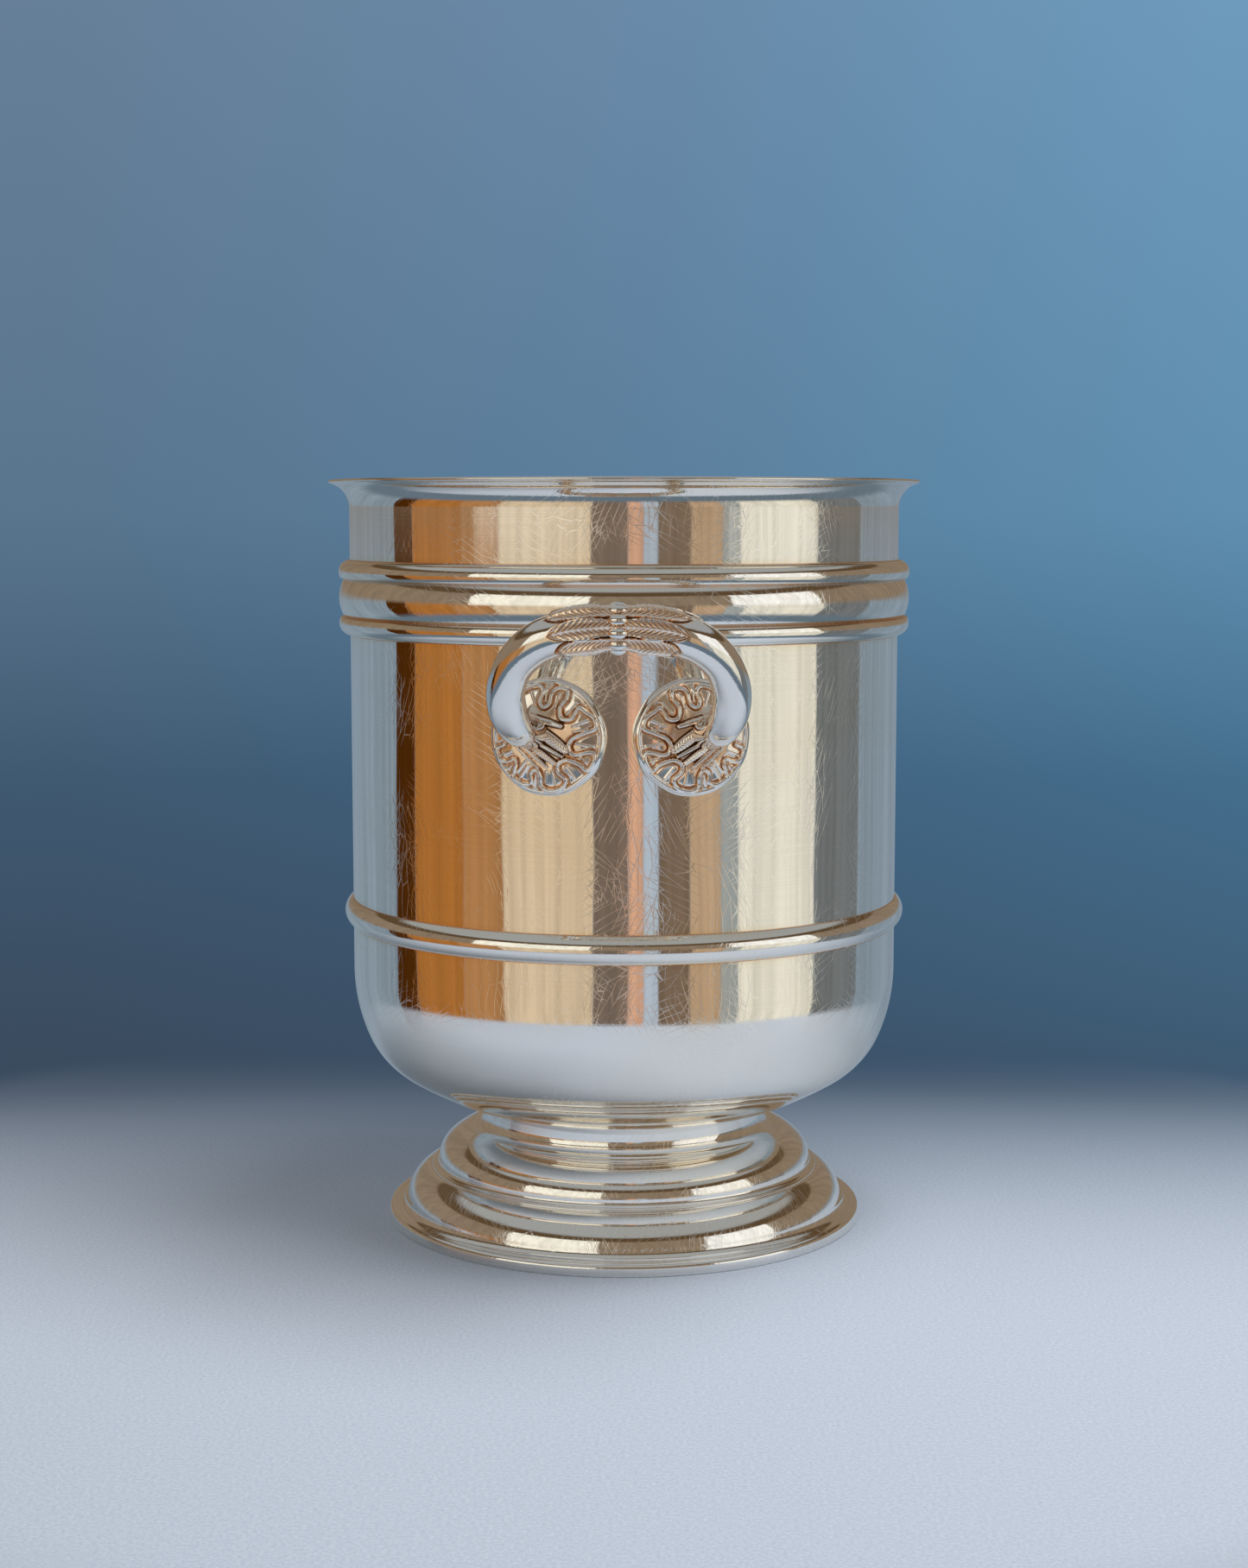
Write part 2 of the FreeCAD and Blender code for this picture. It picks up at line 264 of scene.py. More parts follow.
def polished_plate():
    """Silver plate spun, buffed and used: spin lines, hairline scratches, smears and warm tarnish."""
    made, finish = material("polished_plate")
    place = finish.node("ShaderNodeTexCoord", None, None, 3)
    x, y, z = finish.parts(place)
    radius = finish.maths("SQRT", x * x + y * y)
    around = finish.maths("ARCTAN2", x, 0.0 - y) * 0.09
    sheet = finish.combine(around, z, radius)

    smears = finish.noise(sheet, 24.0, 4.0, 0.6)
    clouds = finish.noise(place, 13.0, 3.0, 0.55)
    spin = finish.noise(finish.combine(around * 12.0, z * 2600.0 + radius * 1500.0, 0.3), 1.0, 2.0, 0.7)
    scratches = 0.0
    for heading, length, width, phase in SCRATCHES:
        scratches = hairlines(finish, around, z, heading, length, width, phase) + scratches
    scratches = finish.maths("MINIMUM", scratches, 1.0)

    crease, stain = 0.0, 0.0
    for height in CREASES:
        away = finish.maths("ABSOLUTE", z - height * MM)
        crease = (1.0 - finish.step(away, 0.00010, 0.00030)) + crease
        stain = (1.0 - finish.step(away, 0.0002, 0.0022)) + stain
    crease = finish.maths("MINIMUM", crease, 1.0) * finish.step(radius, 0.0894, 0.0897)
    stain = finish.maths("MINIMUM", stain, 1.0) * finish.step(clouds, 0.35, 0.62)

    gleam = finish.blend(finish.step(clouds, 0.45, 0.72), (0.93, 0.91, 0.87, 1), (0.92, 0.87, 0.78, 1))
    gleam = finish.blend(stain * 0.55, gleam, (0.86, 0.76, 0.56, 1))
    gleam = finish.blend(crease * 0.85, gleam, (0.80, 0.50, 0.32, 1))
    brushed = finish.step(spin, 0.3, 0.7) * finish.step(smears, 0.35, 0.65)
    gleam = finish.blend(brushed * 0.22, gleam, (0.74, 0.71, 0.66, 1))
    dull = finish.blend(scratches * 0.6, gleam, (0.98, 0.96, 0.93, 1))
    roughness = 0.010 + finish.step(smears, 0.45, 0.8) * 0.03 + scratches * 0.24
    roughness = roughness + brushed * 0.05 + crease * 0.2
    inside = finish.node("ShaderNodeAttribute", {"attribute_name": "inside"}, None, 2)
    # The satin inside is painted darker towards the bottom: painted shade deep in the bucket.
    depth = finish.step(z + (clouds - 0.5) * 0.03, 0.05, 0.235, 1.0, 0.0)
    satin_and_painted_shade = finish.ramp(
        depth,
        [
            (0.0, (0.88, 0.86, 0.82, 1)),
            (0.35, (0.66, 0.63, 0.58, 1)),
            (0.75, (0.48, 0.46, 0.42, 1)),
            (1.0, (0.34, 0.325, 0.30, 1)),
        ],
    )
    rings = finish.noise(finish.combine(0.0, z * 420.0, radius * 260.0), 1.0, 3.0, 0.6)
    rings = finish.step(rings, 0.35, 0.65)
    satin_and_painted_shade = finish.blend(rings * 0.35, satin_and_painted_shade, (0.90, 0.88, 0.84, 1))
    dull = finish.blend(inside, dull, satin_and_painted_shade)
    roughness = roughness + inside * 0.17
    metallic = 1.0 - inside * 0.15
    wander = finish.noise(sheet, 9.0, 2.0, 0.4)
    dents = finish.node(
        "ShaderNodeBump",
        None,
        {"Strength": 1.0, "Distance": 0.0012, "Height": wander},
    )
    relief = (spin - 0.5) * 0.3 - scratches * 0.6
    bump = finish.node(
        "ShaderNodeBump",
        None,
        {"Strength": 0.25, "Distance": 0.00005, "Height": relief, "Normal": dents},
    )
    shader = finish.node(
        "ShaderNodeBsdfPrincipled",
        None,
        {"Base Color": dull, "Metallic": metallic, "Roughness": roughness, "Normal": bump},
    )
    finished(finish, shader)
    return made


def worn_casting():
    """Cast and plated ornament: bright worn edges, coppery hollows and dark oxide in the deepest ones."""
    made, finish = material("worn_casting")
    place = finish.node("ShaderNodeTexCoord", None, None, 3)
    hollow = finish.node("ShaderNodeAttribute", {"attribute_name": "hollow"}, None, 2)
    mottle = finish.noise(place, 420.0, 4.0, 0.6)
    smears = finish.noise(place, 60.0, 3.0, 0.5)
    depth = hollow + (mottle - 0.5) * 0.35
    worn = finish.ramp(
        depth,
        [
            (0.0, (0.89, 0.875, 0.845, 1)),
            (0.16, (0.97, 0.87, 0.77, 1)),
            (0.40, (0.94, 0.69, 0.50, 1)),
            (0.62, (0.60, 0.34, 0.19, 1)),
            (0.90, (0.13, 0.075, 0.045, 1)),
        ],
    )
    roughness = 0.035 + finish.step(depth, 0.04, 0.5) * 0.24 + finish.step(smears, 0.45, 0.75) * 0.05
    bump = finish.node("ShaderNodeBump", None, {"Strength": 0.35, "Distance": 0.0001, "Height": mottle})
    inputs = {"Base Color": worn, "Metallic": 1.0, "Roughness": roughness, "Normal": bump}
    finished(finish, finish.node("ShaderNodeBsdfPrincipled", None, inputs))
    return made


plate = polished_plate()
casting = worn_casting()


# ---------------------------------------------------------------- spun pieces

BODY_RADIUS = 90.0
BODY_METAL = 1.1
FOOT_METAL = 1.0
FLARE = (236.2, 8.0, 78.0)
BOWL_HEIGHT = 84.9
BOWL_UPPER = (55.9, 23.7)
BOWL_LOWER = (28.2, 59.2)


def turn_of(degrees):
    return math.cos(math.radians(degrees)), math.sin(math.radians(degrees))


def body_side(inset):
    """Corners and curves of the body from the bottom's middle up to the lip."""
    upper_cos, upper_sin = turn_of(BOWL_UPPER[1])
    lower_cos, lower_sin = turn_of(BOWL_LOWER[1])
    lip_cos, lip_sin = turn_of(FLARE[2])
    upper = BOWL_UPPER[0] - inset
    lower = BOWL_LOWER[0] - inset
    upper_r = BODY_RADIUS - inset - upper * (1 - upper_cos)
    upper_z = BOWL_HEIGHT - upper * upper_sin
    lower_r = upper_r - lower * (upper_cos - lower_cos)
    lower_z = upper_z - lower * (lower_sin - upper_sin)
    bottom = lower_r / lower_cos
    flare = FLARE[1] + inset
    return {
        "bottom": (0.0, lower_z - bottom * (1 - lower_sin)),
        "lower": (lower_r, lower_z),
        "upper": (upper_r, upper_z),
        "cylinder": (BODY_RADIUS - inset, BOWL_HEIGHT),
        "flare": (BODY_RADIUS - inset, FLARE[0]),
        "lip": (BODY_RADIUS + FLARE[1] - flare * lip_cos, FLARE[0] + flare * lip_sin),
        "curves": (bottom, lower, upper, flare),
    }


def body_outline():
    outside, inside = body_side(0.0), body_side(BODY_METAL)
    bottom, lower, upper, flare = outside["curves"]
    bottom_in, lower_in, upper_in, flare_in = inside["curves"]
    return outline(
        (*outside["bottom"], (bottom, 1, 1.5)),
        (*outside["lower"], (lower, 1, 2.5)),
        (*outside["upper"], (upper, 1, 2)),
        (*outside["cylinder"], None),
        (*outside["flare"], (flare, -1, 4)),
        (*outside["lip"], (0.58, 1, 25)),
        (*inside["lip"], (flare_in, 1, 4)),
        (*inside["flare"], None),
        (*inside["cylinder"], (upper_in, -1, 3)),
        (*inside["upper"], (lower_in, -1, 3)),
        (*inside["lower"], (bottom_in, -1, 2)),
        (*inside["bottom"], None),
    )


def span(node):
    """Lowest height, highest height and outer radius of a CAD node, in millimetres."""
    low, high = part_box(node)
    return low[2] / MM, high[2] / MM, high[0] / MM


def mark_inside(bucket):
    """Marks the inner wall and bottom, which are left satin, up to the polished lip."""
    inside = bucket.data.attributes.new("inside", "FLOAT", "POINT")
    for vertex in bucket.data.vertices:
        place, facing = vertex.co, vertex.normal
        inward = facing.x * place.x + facing.y * place.y < 0
        bottom = place.z < BOWL_HEIGHT * MM and facing.z > 0.1
        if inward or bottom:
            inside.data[vertex.index].value = 1 - smooth(place.z / MM, FLARE[0] + 2, FLARE[0] + 7)


def foot_dome_outline():
    """The foot's upper stage: a ridge, a domed side, and a curve that rises to meet the bowl."""
    radius, height, side, top, neck, ridge, flare = 62.3, 19.0, 8.5, 17.5, 46.0, 64.8, 1.6
    side_cos, side_sin = turn_of(48)
    top_cos, top_sin = turn_of(82)
    bottom = body_side(0.0)["curves"][0]
    bottom_middle = body_side(0.0)["bottom"][1] + bottom

    def stage(inset):
        side_r = radius - inset - (side - inset) * (1 - side_cos)
        side_z = height + (side - inset) * side_sin
        top_r = side_r - (top - inset) * (side_cos - top_cos)
        top_z = side_z + (top - inset) * (top_sin - side_sin)
        neck_r = neck - inset
        fillet = (top_r - neck_r) / (1 - top_cos)
        seat_z = bottom_middle - math.sqrt(bottom**2 - neck_r**2)
        return {
            "flare": (radius + flare, height - flare - inset),
            "wall": (radius - inset, height),
            "side": (side_r, side_z),
            "top": (top_r, top_z),
            "neck": (neck_r, top_z + fillet * top_sin),
            "seat": (neck_r, seat_z),
            "curves": (flare + inset, side - inset, top - inset, fillet),
        }

    outside, inside = stage(0.0), stage(FOOT_METAL)
    flare_out, side_out, top_out, fillet_out = outside["curves"]
    flare_in, side_in, top_in, fillet_in = inside["curves"]
    edge = ridge - FOOT_METAL / 2
    return outline(
        (*inside["flare"], None),
        (edge, inside["flare"][1], (0.52, 1, 20)),
        (edge, outside["flare"][1], None),
        (*outside["flare"], (flare_out, -1, 10)),
        (*outside["wall"], (side_out, 1, 4)),
        (*outside["side"], (top_out, 1, 3)),
        (*outside["top"], (fillet_out, -1, 5)),
        (*outside["neck"], None),
        (*outside["seat"], None),
        (*inside["seat"], None),
        (*inside["neck"], (fillet_in, 1, 8)),
        (*inside["top"], (top_in, -1, 5)),
        (*inside["side"], (side_in, -1, 6)),
        (*inside["wall"], (flare_in, 1, 15)),
    )


def foot_base_outline():
    """The foot's lower stage: a rounded shoulder that runs out in a cove to the rim wire."""
    landing, landing_in, middle, height, curve = 16.45, 60.0, 61.2, 5.0, 12.0
    end_r, end_z = 76.3, 3.7
    reach, drop = end_r - middle, height - end_z
    cove = (reach**2 + drop**2 - curve**2) / (2 * (curve + drop))
    cove_cos = reach / (curve + cove)
    cove_sin = (cove - drop) / (curve + cove)

    def stage(inset):
        face = curve - inset
        level = landing - inset
        return {
            "inner": (landing_in, level),
            "landing": (middle + math.sqrt(face**2 - (level - height) ** 2), level),
            "cove": (middle + face * cove_cos, height + face * cove_sin),
            "end": (end_r, end_z - inset),
            "curves": (face, cove + inset),
        }

    outside, inside = stage(0.0), stage(FOOT_METAL)
    return outline(
        (*inside["inner"], None),
        (*inside["landing"], (inside["curves"][0], -1, 6)),
        (*inside["cove"], (inside["curves"][1], 1, 10)),
        (*inside["end"], None),
        (*outside["end"], (outside["curves"][1], -1, 6)),
        (*outside["cove"], (outside["curves"][0], 1, 3)),
        (*outside["landing"], None),
        (*outside["inner"], None),
    )


reed_low, reed_high, reed_out = span("upper_reed")
band_low, band_high, _ = span("wide_band")
lower_low, lower_high, lower_out = span("lower_reed")
wire_low, wire_high, _ = span("lower_wire")
INTO_BODY = BODY_RADIUS - 0.4
BAND_EDGE = 91.9

bucket = turned("bucket_body", body_outline(), plate, "body_shell")
mark_inside(bucket)
turned(
    "upper_reed_wire",
    outline(
        (INTO_BODY, reed_low, None),
        (reed_out, reed_low, (3.8, 1, 5)),
        (BODY_RADIUS, reed_high, None),
        (INTO_BODY, reed_high, None),
    ),
    plate,
    "upper_reed",
)
turned(
    "wide_band_moulding",
    outline(
        (INTO_BODY, band_low, None),
        (BAND_EDGE, band_low, (12.6, 1, 4)),
        (BAND_EDGE, band_high, None),
        (INTO_BODY, band_high, None),
    ),
    plate,
    "wide_band",
)
turned(
    "lower_reed_wire",
    outline(
        (INTO_BODY, lower_low, None),
        (BODY_RADIUS, lower_low, (3.8, 1, 5)),
        (lower_out, lower_high, None),
        (INTO_BODY, lower_high, None),
    ),
    plate,
    "lower_reed",
)
turned(
    "girdle_wire",
    outline(
        (INTO_BODY, wire_low, None),
        (BODY_RADIUS, wire_low, (5.1, 1, 6)),
        (BODY_RADIUS, wire_high, None),
        (INTO_BODY, wire_high, None),
    ),
    plate,
    "lower_wire",
)
turned("foot_upper_stage", foot_dome_outline(), plate, "foot_dome")
turned("foot_lower_stage", foot_base_outline(), plate, "foot_base")
turned(
    "foot_rim",
    outline(
        (76.3, 0.0, None),
        (78.95, 0.0, (0.42, 1, 30)),
        (79.25, 0.3, None),
        (79.25, 2.5, (1.75, 1, 6)),
        (76.3, 3.7, None),
    ),
    plate,
    "foot_rim_wire",
)


# ---------------------------------------------------------------- cast handles

# Middle line of the right half of a handle: across, out from the axis, height and radius, in
# millimetres, from the middle of the bar to the tip of the arm on its rosette.
HANDLE_LINE = (
    (0.0, 120.0, 202.0, 5.9),
    (8.0, 119.8, 201.7, 6.0),
    (16.5, 118.9, 200.3, 6.25),
    (24.0, 116.6, 197.0, 6.1),
    (29.8, 113.1, 191.2, 5.7),
    (32.6, 108.7, 183.8, 5.7),
    (32.2, 103.9, 176.6, 5.7),
    (29.9, 99.0, 171.7, 5.2),
    (27.4, 93.8, 169.9, 4.6),
    (26.2, 88.6, 169.6, 4.4),
)
# The finer rows of the mesh reach this far from the middle of the bar, and take this share of them.
LEAF_ZONE, LEAF_ROWS = 21.0, 0.62
LEAVES = 7
LEAF_START, LEAF_TIP, LEAF_TURN = 2.6, 18.6, math.radians(5)


def curve_through(points, steps):
    """Corners of a smooth curve through the points, each point a Vector of any size."""
    ends = [points[0] * 2 - points[1], *points, points[-1] * 2 - points[-2]]
    corners = [points[0]]
    for before, start, end, after in zip(ends, ends[1:], ends[2:], ends[3:]):
        for index in range(1, steps + 1):
            t = index / steps
            corners.append(
                (
                    start * 2
                    + (end - before) * t
                    + (before * 2 - start * 5 + end * 4 - after) * t**2
                    + (start * 3 - before - end * 3 + after) * t**3
                )
                / 2
            )
    return corners


def handle_way():
    """Points of the middle line from left tip to right, each with its distance from the middle."""
    right = [Vector((across, -out, height, radius)) for across, out, height, radius in HANDLE_LINE]
    left = [Vector((-point[0], *point[1:])) for point in right[:0:-1]]
    corners = curve_through(left + right, 24)
    lengths = [0.0]
    for one, other in zip(corners, corners[1:]):
        lengths.append(lengths[-1] + (other.to_3d() - one.to_3d()).length)
    middle = lengths[-1] / 2
    return [(length - middle, corner) for length, corner in zip(lengths, corners)]


WAY = handle_way()
HALF_WAY = WAY[-1][0]


def on_way(distance):
    """Point, direction and radius of the middle line at a distance from its middle."""
    low, high = 0, len(WAY) - 1
    while high - low > 1:
        guess = (low + high) // 2
        if WAY[guess][0] <= distance:
            low = guess
        else:
            high = guess
    (start, one), (end, other) = WAY[low], WAY[high]
    share = min(max((distance - start) / (end - start), 0.0), 1.0)
    point = one.lerp(other, share)
    before, after = WAY[max(low - 1, 0)][1], WAY[min(high + 1, len(WAY) - 1)][1]
    first = (other - before).to_3d()
    second = (after - one).to_3d()
    return point.to_3d(), first.lerp(second, share).normalized(), point[3]


def leaf_half_width(reach):
    if not 0 <= reach < 1:
        return 2.7 if reach < 0 else 0.0
    return 3.5 * (0.76 + 0.5 * reach - 0.24 * reach**2) * (1 - reach**4.5) ** 0.85


def leafwork(distance, angle):
    """Height over the bar and depth of hollow of the veined leaves on both sides of the bead ring."""
    reach = (abs(distance) - LEAF_START) / (LEAF_TIP - LEAF_START)
    spacing = math.tau / LEAVES
    offset = abs((angle - LEAF_TURN + spacing / 2) % spacing - spacing / 2) * 6.9
    half = leaf_half_width(reach)
    outside = offset - half
    if reach > 1:
        outside = math.hypot(offset, (reach - 1) * (LEAF_TIP - LEAF_START))
    inside = 1 - smooth(outside, -0.2, 0.08)
    share = min(offset / max(half, 0.3), 1.0)
    vein = math.sin(math.tau * (abs(distance) + offset * 1.5) / 1.55)
    dish = math.sin(math.pi * min(share**0.9 * 1.18, 1.0)) ** 0.8
    rib = math.exp(-((offset / 0.3) ** 2)) * (1 - smooth(reach, 0.8, 1.0))
    height = (1.4 - 0.78 * dish + 0.22 * vein * dish + 0.24 * rib) * (1 - 0.45 * smooth(reach, 0.35, 1.0))
    height *= 0.55 + 0.45 * smooth(reach, 0.0, 0.32)
    gap = (1 - smooth(outside, 0.0, 1.1)) * (1 - inside)
    crevice = gap * (1 - smooth(reach, 0.9, 1.1))
    hollow = gap * 0.7 + 0.3 * crevice + inside * (0.36 * dish - 0.3 * vein * dish + 0.10)
    return inside * height - 0.2 * crevice, hollow


def handle_corner(round_share, along_share):
    """Place and hollow of a corner of the handle's surface."""
    t = abs(along_share * 2 - 1)
    if t < LEAF_ROWS:
        distance = LEAF_ZONE * t / LEAF_ROWS
    else:
        distance = LEAF_ZONE + (HALF_WAY - LEAF_ZONE) * (t - LEAF_ROWS) / (1 - LEAF_ROWS)
    distance = math.copysign(distance, along_share - 0.5)
    angle = (round_share - 0.5) * math.tau
    point, direction, radius = on_way(distance)
    front = Vector((0, -1, 0))
    front = (front - direction * front.dot(direction)).normalized()
    up = front.cross(direction)
    height, hollow = leafwork(distance, angle)
    end = smooth(HALF_WAY - abs(distance), 0.0, 0.5)
    seat = 1 - smooth(HALF_WAY - abs(distance), 1.0, 6.0)
    radius = (radius + height + 0.5 * seat) * end
    return point + (front * math.cos(angle) + up * math.sin(angle)) * radius, hollow + 0.3 * seat


def formed(name, columns, rows, corner, finish):
    """Closed piece from a grid whose corners go where corner(share round, share along) says."""
    bpy.ops.object.select_all(action="DESELECT")
    bpy.ops.mesh.primitive_grid_add(x_subdivisions=columns, y_subdivisions=rows, size=2)
    piece = begin(name, finish)
    hollow = piece.data.attributes.new("hollow", "FLOAT", "POINT")
    for vertex in piece.data.vertices:
        place, depth = corner((vertex.co.x + 1) / 2, (vertex.co.y + 1) / 2)
        hollow.data[vertex.index].value = min(max(depth, 0.0), 1.0)
        vertex.co = place * MM
    piece.data.update()
    tidy_surface(60)
    return piece


def copied(piece, name, change):
    """Copy of a piece with its own mesh, moved by a matrix."""
    twin = piece.copy()
    twin.data = piece.data.copy()
    twin.name = twin.data.name = name
    bpy.context.collection.objects.link(twin)
    twin.data.transform(change)
    if change.determinant() < 0:
        twin.data.flip_normals()
    return twin


HALF_TURN = Matrix.Rotation(math.pi, 4, "Z")
MIRROR = Matrix.Scale(-1, 4, (1, 0, 0))


def settle(piece, node):
    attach(piece, "root")
    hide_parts(node)


# Beads: how many, turn of the first in degrees, half sizes across, out and round, and distance out.
BEADS, BEAD_TURN, BEAD_SIZE, BEAD_OUT = 10, -11, (2.9, 2.1, 1.85), 5.6
BEAD_BAND_RADIUS, BEAD_BAND_WIDTH = 6.3, 4.6


def bead_ring():
    """Ten flattened beads strung round the middle of the bar on a plain band."""
    bar = (0, -HANDLE_LINE[0][1] * MM, HANDLE_LINE[0][2] * MM)
    bpy.ops.object.select_all(action="DESELECT")
    bpy.ops.mesh.primitive_cylinder_add(
        vertices=96,
        radius=BEAD_BAND_RADIUS * MM,
        depth=BEAD_BAND_WIDTH * MM,
        location=bar,
        rotation=(0, math.pi / 2, 0),
    )
    ring = begin("bead_ring_front_beads", casting)
    bpy.ops.object.transform_apply(location=True, rotation=True, scale=True)
    mode("EDIT")
    bpy.ops.mesh.select_mode(type="EDGE")
    bpy.ops.mesh.select_all(action="DESELECT")
    bpy.ops.mesh.edges_select_sharp(sharpness=math.radians(60))
    bpy.ops.mesh.bevel(offset=0.5 * MM, segments=3, affect="EDGES")
    bpy.ops.mesh.select_mode(type="VERT")
    for number in range(BEADS):
        angle = math.radians(BEAD_TURN + 360 / BEADS * number)
        bpy.ops.mesh.select_all(action="DESELECT")
        bpy.ops.mesh.primitive_uv_sphere_add(segments=28, ring_count=18, radius=1 * MM, location=bar)
        bpy.ops.transform.resize(value=BEAD_SIZE, center_override=bar)
        bpy.ops.transform.translate(value=(0, -BEAD_OUT * MM, 0))
        bpy.ops.transform.rotate(value=angle, orient_axis="X", center_override=bar)
    mode("OBJECT")
    tidy_surface(60)
    hollow = ring.data.attributes.new("hollow", "FLOAT", "POINT")
    for vertex in ring.data.vertices:
        out = math.hypot(vertex.co.y - bar[1], vertex.co.z - bar[2]) / MM
        hollow.data[vertex.index].value = 0.9 * (1 - smooth(out, 6.1, 6.9))
    return ring


# ---------------------------------------------------------------- cast rosettes

# The rosette lies flat here in millimetres: first toward the middle of the bucket, then up.
ROSETTE = 18.1
ROSETTE_CROWN = 93.5
ROSETTE_DOME = 58.0
ROSETTE_HEIGHT = 168.2
ROSETTE_AZIMUTH = 13.8
ROSETTE_ROLL = 1.7
ROSETTE_SWELL = 0.35
# Shares of the mesh's rows at the end of the face and at the end of the side wall.
FACE_END, WALL_END, WALL_ROWS = 0.86, 0.9, 0.04

# The ribbon that folds in and out round the rosette: direction in degrees, share of the radius.
RIBBON = (
    (118, 0.86), (108, 0.87), (99, 0.86), (94, 0.76), (100, 0.60), (95, 0.50), (84, 0.57), (82, 0.74),
    (76, 0.84), (66, 0.85), (62, 0.73), (64, 0.55), (50, 0.42), (36, 0.54), (42, 0.74), (33, 0.79),
    (22, 0.86), (11, 0.84), (7, 0.66), (-3, 0.45), (-22, 0.42), (-30, 0.56), (-17, 0.80), (-24, 0.88),
    (-38, 0.87), (-38, 0.70), (-46, 0.51), (-64, 0.48), (-70, 0.60), (-65, 0.77), (-73, 0.87), (-87, 0.89),
    (-97, 0.82), (-99, 0.66), (-107, 0.57), (-114, 0.66), (-110, 0.82), (-119, 0.89), (-131, 0.88),
    (-139, 0.70), (-146, 0.67), (-149, 0.82), (-156, 0.90), (-166, 0.88), (-170, 0.74),
)
# Short ribs in the folds: direction in degrees, from and to shares of the radius.
RIBS = (
    (109, 0.55, 0.80), (90, 0.60, 0.82), (72, 0.52, 0.76), (47, 0.52, 0.76),
    (22, 0.50, 0.76), (12, 0.48, 0.70), (-10, 0.52, 0.80), (-29, 0.66, 0.82),
    (-55, 0.58, 0.82), (-80, 0.56, 0.80), (-90, 0.56, 0.78), (-106, 0.66, 0.84),
    (-124, 0.56, 0.84), (-131, 0.52, 0.80), (-158, 0.64, 0.84), (-141, 0.78, 0.88),
)
# Palmette blades: from, to, half width, hatched.
BLADES = (
    ((-2.2, 2.4), (6.0, -3.7), 1.85, True),
    ((-3.8, -0.9), (5.0, -5.6), 0.72, False),
    ((-4.8, -2.6), (2.6, -7.6), 1.15, True),
    ((-7.0, -2.8), (0.1, -8.7), 0.72, False),
    ((-8.8, -3.2), (-2.6, -9.1), 0.62, False),
    ((-5.8, 6.5), (4.6, 3.5), 1.0, False),
    ((-6.4, 4.6), (0.6, 1.9), 0.75, False),
)


def ribbon_tree():
    """Finds the nearest place on the ribbon."""
    folds = [
        Vector((math.cos(math.radians(turn)), math.sin(math.radians(turn)), 0)) * share * ROSETTE
        for turn, share in RIBBON
    ]
    corners = curve_through(folds, 40)
    tree = kdtree.KDTree(len(corners))
    for index, corner in enumerate(corners):
        tree.insert(corner, index)
    tree.balance()
    return tree


RIBBON_TREE = ribbon_tree()


def from_line(point, start, end):
    """Share along a line, and distance from it, of a point."""
    way = end - start
    along = min(max((point - start).dot(way) / way.length_squared, 0.0), 1.0)
    return along, (point - start - way * along).length


def rosette_face(point):
    """Height against the plain dome, and depth of hollow, at a point of the rosette's face."""
    share = point.length / ROSETTE
    well = 1 - smooth(share, 0.85, 0.93)
    inner = 1 - smooth(share, 0.36, 0.62)
    height = -well * (0.6 + 0.6 * inner)
    hollow = well * (0.10 + 0.22 * inner)
    _, _, away = RIBBON_TREE.find((point.x, point.y, 0))
    beside = smooth(away, 0.5, 0.8) * (1 - smooth(away, 0.85, 1.6)) * well
    height -= 0.32 * beside
    hollow += 0.5 * beside
    ridge = math.sqrt(max(1 - (away / 0.74) ** 2, 0.0))
    raised = -1.0 + 1.35 * ridge
    if raised > height and ridge > 0:
        height, hollow = raised, hollow * (1 - smooth(ridge, 0.1, 0.75))
    flat = point.to_2d()
    for turn, low, high in RIBS:
        way = Vector((math.cos(math.radians(turn)), math.sin(math.radians(turn)))) * ROSETTE
        _, away = from_line(flat, way * low, way * high)
        ridge = math.sqrt(max(1 - (away / 0.42) ** 2, 0.0))
        raised = -0.9 + 0.75 * ridge
        if raised > height and ridge > 0:
            height, hollow = raised, hollow * (1 - smooth(ridge, 0.1, 0.8)) + 0.1
    for start, end, half, hatched in BLADES:
        start, end = Vector(start), Vector(end)
        along, away = from_line(flat, start, end)
        taper = half * (0.72 + 0.28 * math.sin(math.pi * along))
        if away < taper + 0.35:
            crown = math.sqrt(max(1 - (away / taper) ** 2, 0.0)) if away < taper else 0.0
            raised = -1.15 + 1.25 * crown**0.7
            shade = 1 - smooth(crown, 0.1, 0.6)
            if hatched:
                hatch = math.sin(math.tau * (along * (end - start).length + away * 0.9) / 0.95)
                raised += 0.11 * hatch * smooth(crown, 0.2, 0.5)
                shade += 0.22 * smooth(hatch, 0.0, -1.0)
            if raised > height or away < taper:
                height, hollow = raised, shade
    return height, hollow


